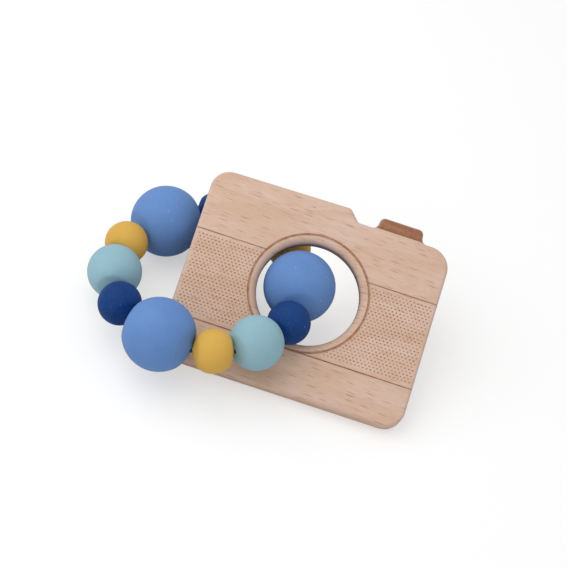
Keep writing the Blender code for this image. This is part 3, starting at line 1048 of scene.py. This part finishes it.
def plain_beech(shader, fibre, streak, flecks):
    """Colour of bare beech: warm and pinkish patches, growth lines, fine streaks and ray flecks."""
    base = shader.layer(wood("pale"), shader.noise(BROAD_NOISE), BROAD_SPAN, 1.0, wood("warm"))
    base = shader.layer(base, shader.noise(PATCH_NOISE), PATCH_SPAN, PATCH_SHARE, wood("tan"))
    base = shader.tint(base, growth_lines(shader), GROWTH_SHARE, wood("growth"))
    base = shader.layer(base, streak, STREAK_SPAN, STREAK_SHARE, wood("streak"))
    base = shader.layer(base, fibre, FIBRE_SPAN, FIBRE_SHARE, wood("fibre"))
    return shader.tint(base, flecks, FLECK_SHARE, wood("fleck"))


def button_mask(shader, place):
    """One on the stained shutter button, from its foot to its top."""
    parts = shader.split(place)
    above = shader.fade(parts[1], *(LENS_TO_SHOULDER + height for height in STAIN_HEIGHTS))
    right = shader.fade(parts[0], *(RAMP_FOOT_X + distance for distance in STAIN_DISTANCES))
    return shader.math("MULTIPLY", above, right)


def stained_button(shader, place, streak):
    """Colour of the brown stain on the shutter button, darkest at its foot."""
    stain = shader.layer(wood("stain"), streak, STAIN_SPAN, 1.0, wood("dark_stain"))
    speckle = shader.noise(SPECKLE_NOISE)
    stain = shader.layer(stain, speckle, SPECKLE_SPAN, SPECKLE_SHARE, wood("stain_speckle"))
    height = shader.split(place)[1]
    foot = shader.fade(height, *(LENS_TO_SHOULDER + rise for rise in STAIN_FOOT_HEIGHTS))
    return shader.tint(stain, foot, STAIN_FOOT_SHARE, wood("stain_foot"))


def painted_edge_sheen(shader, place):
    """One on the plate's rounded outer edge, where a greyish painted sheen stands for the reflection of the
    white surroundings, and less at its foot.
    """
    upper = below_face(shader, place, EDGE_SHEEN_UPPER_DEPTHS)
    lower = below_face(shader, place, EDGE_SHEEN_LOWER_DEPTHS)
    outside = shader.fade(lens_reach(shader, place), *EDGE_SHEEN_REACHES)
    raised = shader.fade(shader.split(place)[1], *EDGE_SHEEN_HEIGHTS, EDGE_SHEEN_LOWEST_SHARE, 1.0)
    band = shader.math("MULTIPLY", shader.math("MULTIPLY", upper, lower), outside)
    return shader.math("MULTIPLY", band, raised)


def painted_hole_shade(shader, place):
    """One deep in the lens hole's wall, where painted shade darkens the wall that faces away from the
    light.
    """
    within = shader.fade(lens_reach(shader, place), *HOLE_SHADE_REACHES)
    return shader.math("MULTIPLY", within, below_face(shader, place, HOLE_SHADE_DEPTHS))


def beech_material(pattern_frame):
    """Unvarnished steamed beech with burnt engraving and a stained shutter button."""
    shader = Shader("beech", pattern_frame)
    place = shader.place()
    fibre = shader.noise(FIBRE_NOISE)
    streak = shader.noise(STREAK_NOISE)
    flecks = all_flecks(shader)
    base = plain_beech(shader, fibre, streak, flecks)
    base = shader.mix(button_mask(shader, place), base, stained_button(shader, place, streak))
    # Painted sheen: a greyish reflection on the rounded outer edge
    base = shader.tint(base, painted_edge_sheen(shader, place), EDGE_SHEEN_SHARE, wood("painted_edge_sheen"))
    # Painted shade deep in the lens hole's wall
    base = shader.tint(base, painted_hole_shade(shader, place), HOLE_SHADE_SHARE, wood("painted_hole_shade"))
    base = engraved_colour(shader, place, base)
    rough = shader.fade(fibre, *WOOD_ROUGH_SPAN, *WOOD_ROUGHNESS)
    shader.surface(Base_Color=base, Roughness=rough, Specular_IOR_Level=WOOD_GLOSS)
    grain = shader.math("SUBTRACT", fibre, shader.math("MULTIPLY", flecks, FLECK_DIP))
    shader.bump(grain, GRAIN_HEIGHT, GRAIN_STRENGTH)
    return shader.material


def dust_specks(shader):
    """How strongly each place lies in a speck of dust, from 0 to 1."""
    place = shader.place([SPECK_CELLS_PER_MM] * 3)
    centre, random = shader.cells(place)
    spot = shader.fade(shader.vector("DISTANCE", place, centre), *SPECK_EDGE)
    return shader.math("MULTIPLY", spot, shader.fade(shader.split(random)[0], *SPECK_PRESENCE))


def silicone_material(kind):
    """Matt silicone: faintly clouded, with a soft gloss and a few specks of dust."""
    shader = Shader(kind + "_silicone")
    light, dark = SILICONE_COLOURS[kind]
    scuffed = [value + SCUFF_LIGHTER for value in light]
    mottle = shader.noise(MOTTLE_NOISE)
    base = shader.layer(colour(*light), shader.noise(CLOUD_NOISE), CLOUD_SPAN, 1.0, colour(*dark))
    base = shader.layer(base, mottle, SCUFF_SPAN, SILICONE_SCUFFS[kind], colour(*scuffed))
    base = shader.tint(base, dust_specks(shader), SPECK_SHARE, colour(*SPECK_COLOUR))
    rough = shader.fade(mottle, *MOTTLE_SPAN, *SILICONE_ROUGHNESS)
    shader.surface(Base_Color=base, Roughness=rough, Specular_IOR_Level=SILICONE_GLOSS[kind])
    shader.bump(mottle, SILICONE_HEIGHT, SILICONE_STRENGTH)
    return shader.material


def string_material():
    """Plaited thread in dark slate, which stands as painted shade in the gaps between beads."""
    shader = Shader("string_thread")
    light, dark = STRING_SHADE_COLOURS
    thread = shader.noise(THREAD_NOISE)
    # Dark slate thread: painted shade where the string shows between beads
    base = shader.layer(colour(*light), thread, THREAD_SPAN, 1.0, colour(*dark))
    shader.surface(Base_Color=base, Roughness=STRING_ROUGHNESS, Specular_IOR_Level=STRING_GLOSS)
    shader.bump(thread, STRING_HEIGHT, STRING_STRENGTH)
    return shader.material


# Stage, with lengths in metres; the hole's glow is on the floor that shows through the lens hole

FLOOR_HALF = 3.0
FLOOR_GREY = 0.80
FLOOR_SEEN_GREY = 0.55
FLOOR_GLOW = 0.485
HOLE_GLOW = 0.21
HOLE_GLOW_PLACE = (0.009, 0.025)
HOLE_GLOW_HALF = (0.027, 0.026)
SKY_LIGHT = 0.69
KEY_POWER = 0.86
KEY_SIZE = 0.5
KEY_DISTANCE = 0.42
KEY_RIGHT = -0.50
KEY_UP = 1.0
KEY_BACK = 1.0
CLIP_NEAR = 0.01
CLIP_FAR = 20.0


def show_camera(tree, output, plain, seen):
    """Send one shader to the camera's own rays and a plain one to all others."""
    path = tree.nodes.new("ShaderNodeLightPath")
    mixer = tree.nodes.new("ShaderNodeMixShader")
    tree.links.new(path.outputs["Is Camera Ray"], mixer.inputs[0])
    tree.links.new(plain, mixer.inputs[1])
    tree.links.new(seen, mixer.inputs[2])
    tree.links.new(mixer.outputs[0], tree.nodes[output].inputs["Surface"])


def floor_glow(tree):
    """How much the floor glows for the camera: evenly, and a little more about the lens hole."""
    source = tree.nodes.new("ShaderNodeTexCoord")
    about_hole = tree.nodes.new("ShaderNodeMapping")
    about_hole.vector_type = "TEXTURE"
    about_hole.inputs["Location"].default_value = (*HOLE_GLOW_PLACE, 0.0)
    about_hole.inputs["Scale"].default_value = (*HOLE_GLOW_HALF, 1.0)
    tree.links.new(source.outputs["Object"], about_hole.inputs["Vector"])
    away = tree.nodes.new("ShaderNodeVectorMath")
    away.operation = "LENGTH"
    tree.links.new(about_hole.outputs[0], away.inputs[0])
    fall = tree.nodes.new("ShaderNodeMapRange")
    fall.interpolation_type = "SMOOTHSTEP"
    fall.inputs["To Min"].default_value = FLOOR_GLOW + HOLE_GLOW
    fall.inputs["To Max"].default_value = FLOOR_GLOW
    tree.links.new(away.outputs["Value"], fall.inputs["Value"])
    return fall.outputs[0]


def grey_diffuse(tree, grey):
    """A plain diffuse shader."""
    diffuse = tree.nodes.new("ShaderNodeBsdfDiffuse")
    diffuse.inputs["Color"].default_value = (grey, grey, grey, 1.0)
    return diffuse.outputs[0]


def floor_material():
    """Pale floor: plain to the light, and darker with a glow to the camera."""
    material = bpy.data.materials.new("floor_white")
    material.use_nodes = True
    tree = material.node_tree
    tree.nodes.remove(tree.nodes["Principled BSDF"])
    glow = tree.nodes.new("ShaderNodeEmission")
    glow.inputs["Color"].default_value = WHITE
    tree.links.new(floor_glow(tree), glow.inputs["Strength"])
    seen = tree.nodes.new("ShaderNodeAddShader")
    tree.links.new(grey_diffuse(tree, FLOOR_SEEN_GREY), seen.inputs[0])
    tree.links.new(glow.outputs[0], seen.inputs[1])
    show_camera(tree, "Material Output", grey_diffuse(tree, FLOOR_GREY), seen.outputs[0])
    return material


def add_floor():
    """A white floor that keeps the object's shadow."""
    mesh = bpy.data.meshes.new("floor")
    corners = [(-FLOOR_HALF, -FLOOR_HALF, 0), (FLOOR_HALF, -FLOOR_HALF, 0),
               (FLOOR_HALF, FLOOR_HALF, 0), (-FLOOR_HALF, FLOOR_HALF, 0)]
    mesh.from_pydata(corners, [], [(0, 1, 2, 3)])
    mesh.materials.append(floor_material())
    floor = bpy.data.objects.new("floor", mesh)
    bpy.context.scene.collection.objects.link(floor)


def add_world():
    """An even sky, seen as white by the camera."""
    world = bpy.data.worlds.new("studio")
    bpy.context.scene.world = world
    world.use_nodes = True
    tree = world.node_tree
    sky = tree.nodes["Background"]
    seen = tree.nodes.new("ShaderNodeBackground")
    for background, strength in ((sky, SKY_LIGHT), (seen, 1.0)):
        background.inputs["Color"].default_value = WHITE
        background.inputs["Strength"].default_value = strength
    show_camera(tree, "World Output", sky.outputs[0], seen.outputs[0])


def camera_matrix():
    """The photograph's camera in the row frame."""
    back = Vector(CAMERA_BACK).normalized()
    right = Vector(CAMERA_RIGHT)
    right = (right - back * right.dot(back)).normalized()
    up = back.cross(right)
    matrix = Matrix((right, up, back)).transposed().to_4x4()
    matrix.translation = Vector(CAMERA_PLACE) * MM
    return plate @ matrix


def add_camera():
    """The camera, placed and turned as the photograph was taken."""
    data = bpy.data.cameras.new("camera")
    camera = bpy.data.objects.new("camera", data)
    bpy.context.scene.collection.objects.link(camera)
    data.sensor_width = SENSOR_WIDTH
    data.lens = FOCAL_PIXELS / PICTURE_SIZE * SENSOR_WIDTH
    data.clip_start = CLIP_NEAR
    data.clip_end = CLIP_FAR
    camera.matrix_world = camera_matrix()
    bpy.context.scene.camera = camera


def add_key_light():
    """One large soft lamp, up and to the left as the camera sees it."""
    view = camera_matrix()
    right, up, back = (view.col[index].to_3d() for index in range(3))
    direction = (right * KEY_RIGHT + up * KEY_UP + back * KEY_BACK).normalized()
    data = bpy.data.lights.new("key", "AREA")
    data.shape = "DISK"
    data.size = KEY_SIZE
    data.energy = KEY_POWER
    lamp = bpy.data.objects.new("key", data)
    bpy.context.scene.collection.objects.link(lamp)
    lamp.location = direction * KEY_DISTANCE
    lamp.rotation_euler = direction.to_track_quat("Z", "Y").to_euler()


bpy.context.scene.view_settings.view_transform = "Standard"
add_camera()
add_world()
add_floor()
add_key_light()
add_plate()
add_beads()
add_string()
